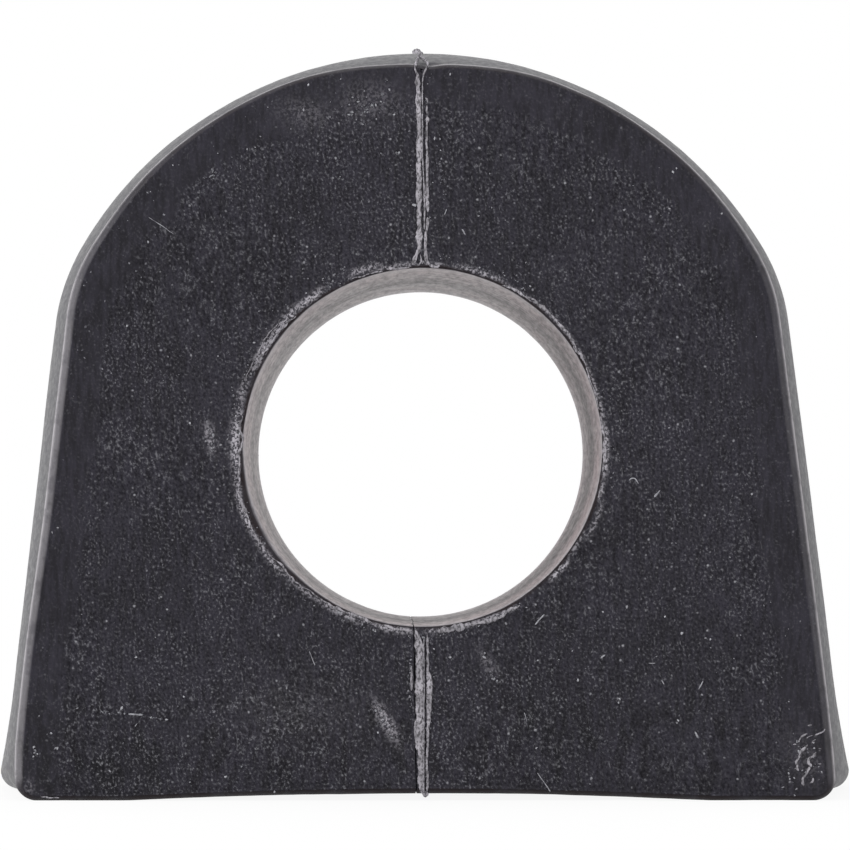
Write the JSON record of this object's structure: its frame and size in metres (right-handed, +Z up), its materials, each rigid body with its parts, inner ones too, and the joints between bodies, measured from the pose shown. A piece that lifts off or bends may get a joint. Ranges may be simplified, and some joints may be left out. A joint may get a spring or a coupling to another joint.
{
  "type": "sway bar bushing",
  "caption": "D-shaped moulded rubber bushing with a round bore that grips a stabilizer bar, split through its flat base.",
  "frame": {"origin": "middle of the base, on the plane of the two pads that it rests on", "axes": "+Y along the bore, +Z up from the base through the bore's axis to the crown, +X to the right seen along +Y"},
  "size_m": [0.075, 0.0452, 0.0649],
  "materials": {
    "rubber": "fine pebbled grain, satin"
  },
  "bodies": {
    "root": {"bushing": "rubber"}
  },
  "joints": []
}
